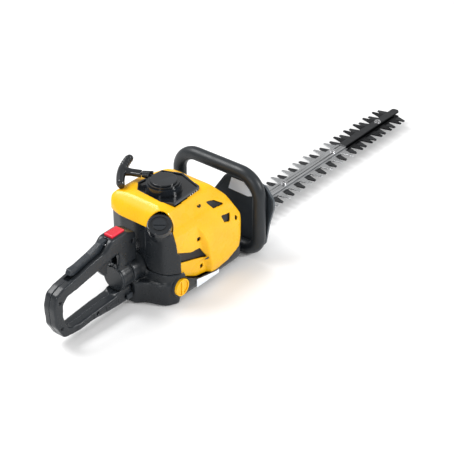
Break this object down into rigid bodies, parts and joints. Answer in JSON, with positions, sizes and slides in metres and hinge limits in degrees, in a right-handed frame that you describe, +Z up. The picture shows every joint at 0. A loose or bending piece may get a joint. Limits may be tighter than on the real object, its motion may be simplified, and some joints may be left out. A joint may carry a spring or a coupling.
{
  "type": "hedge trimmer",
  "caption": "Petrol hedge trimmer with a double-sided reciprocating blade, loop front handle, swivelling D rear handle and recoil starter.",
  "frame": {"origin": "underside of the skid plate, below the crankshaft axis", "axes": "+X along the blade to its tip, +Y to the operator's left, +Z up"},
  "size_m": [1.0259, 0.2194, 0.2108],
  "materials": {
    "black": "fine moulded texture",
    "yellow": "glossy moulded",
    "rubber": "matt soft grip",
    "red": "glossy",
    "label": "blank silver label",
    "cutter_steel": "ground steel",
    "black_steel": "blackened steel",
    "steel": "plated",
    "alloy": "die cast",
    "cable_black": "smooth",
    "rope": "braided",
    "foam": "open foam",
    "white_plastic": "plain"
  },
  "bodies": {
    "engine_unit": {"skid_plate": "black", "lower_housing": "black", "gear_case": "alloy", "gear_cover": "alloy", "ball_bearings": "steel", "rear_housing": "black", "filter_cover": "black", "front_shield": "black", "side_cover": "yellow", "top_cover": "yellow", "cover_screws": "steel", "heat_shield": "steel", "starter_plate": "black", "starter_cap": "black", "rope_guide": "black", "recoil_spring": "steel", "fuel_tank": "black", "crankcase": "alloy", "cylinder": "alloy", "ignition_coil": "cable_black", "spark_plug": "cable_black", "muffler": "steel", "carburettor": "alloy", "throttle_cable": "cable_black", "air_filter": "foam", "front_handle": "rubber", "handle_bracket": "black", "rubber_mounts": "rubber", "hand_guard": "black", "labels": "label", "guide_bar": "cutter_steel", "tip_cover": "black_steel", "blade_bolts": "steel", "swivel_stub": "steel"},
    "rear_handle": {"handle_left": "black", "handle_right": "black", "handle_screws": "steel", "handle_pins": "steel", "swivel_cap": "black"},
    "trigger": {"throttle_trigger": "black"},
    "lockout": {"lockout_lever": "black"},
    "stop_rocker": {"stop_switch": "red"},
    "handle_catch": {"swivel_latch": "black"},
    "crank": {"crankshaft": "steel", "clutch_shoes": "steel", "flywheel": "alloy"},
    "clutch": {"clutch_drum": "steel"},
    "drive": {"drive_gear": "steel", "eccentric_shaft": "steel"},
    "upper_blade": {"upper_cutter": "cutter_steel"},
    "lower_blade": {"lower_cutter": "black_steel"},
    "piston_rod": {"piston": "alloy", "connecting_rod": "steel"},
    "pulley": {"starter_pulley": "white_plastic", "rope_winding": "rope"},
    "grip": {"starter_grip": "black", "starter_rope": "rope"},
    "cap": {"fuel_cap": "black"},
    "choke": {"choke_knob": "yellow"}
  },
  "joints": [
    {"name": "handle_swivel", "type": "hinge", "parent": "engine_unit", "child": "rear_handle", "pos_m": [-0.106, 0, 0.062], "axis": [1, 0, 0], "range_deg": [-90, 90]},
    {"name": "trigger_squeeze", "type": "hinge", "parent": "rear_handle", "child": "trigger", "pos_m": [-0.13, 0, 0.119], "axis": [0, 1, 0], "range_deg": [0, 14], "stiffness_Nm_per_rad": 0.3, "springref_deg": -14.32},
    {"name": "lockout_press", "type": "hinge", "parent": "rear_handle", "child": "lockout", "pos_m": [-0.156, 0, 0.1435], "axis": [0, 1, 0], "range_deg": [-5, 0], "stiffness_Nm_per_rad": 0.3, "springref_deg": 14.32},
    {"name": "stop_rock", "type": "hinge", "parent": "rear_handle", "child": "stop_rocker", "pos_m": [-0.1265, 0, 0.15], "axis": [0, 1, 0], "range_deg": [0, 8]},
    {"name": "catch_slide", "type": "slide", "parent": "rear_handle", "child": "handle_catch", "axis": [-1, 0, 0], "range_m": [0, 0.004], "stiffness_N_per_m": 400, "springref_m": -0.002},
    {"name": "crank_spin", "type": "hinge", "parent": "engine_unit", "child": "crank", "pos_m": [0, 0, 0.092], "axis": [0, 0, 1], "continuous": true},
    {"name": "gear_spin", "type": "hinge", "parent": "engine_unit", "child": "drive", "pos_m": [0.04125, 0, 0.0335], "axis": [0, 0, 1], "continuous": true},
    {"name": "drum_spin", "type": "hinge", "parent": "engine_unit", "child": "clutch", "pos_m": [0, 0, 0.0335], "axis": [0, 0, 1], "continuous": true},
    {"name": "upper_stroke", "type": "slide", "parent": "engine_unit", "child": "upper_blade", "axis": [1, 0, 0], "range_m": [-0.0175, 0]},
    {"name": "lower_stroke", "type": "slide", "parent": "engine_unit", "child": "lower_blade", "axis": [1, 0, 0], "range_m": [0, 0.0175]},
    {"name": "piston_stroke", "type": "slide", "parent": "engine_unit", "child": "piston_rod", "axis": [1, 0, 0], "range_m": [-0.026, 0]},
    {"name": "rope_pull", "type": "slide", "parent": "engine_unit", "child": "grip", "axis": [-0.4895, 0.8692, 0.0699], "range_m": [0, 0.65], "stiffness_N_per_m": 20, "springref_m": -0.3, "deforming": ["starter_rope"]},
    {"name": "pulley_spin", "type": "hinge", "parent": "engine_unit", "child": "pulley", "pos_m": [0, 0, 0.1875], "axis": [0, 0, 1], "range_deg": [0, 1800]},
    {"name": "cap_turn", "type": "hinge", "parent": "engine_unit", "child": "cap", "pos_m": [-0.066, -0.048, 0.148], "axis": [-0.3171, -0.2561, 0.9132], "range_deg": [0, 540]},
    {"name": "choke_turn", "type": "hinge", "parent": "engine_unit", "child": "choke", "pos_m": [-0.051, -0.08, 0.035], "axis": [0, -1, 0], "range_deg": [0, 90]}
  ],
  "couplings": [
    {"joint": "lower_stroke", "follows": "upper_stroke", "ratio": -1},
    {"joint": "drum_spin", "follows": "gear_spin", "ratio": -4.5},
    {"joint": "pulley_spin", "follows": "rope_pull", "rad_per_m": 47.619}
  ]
}
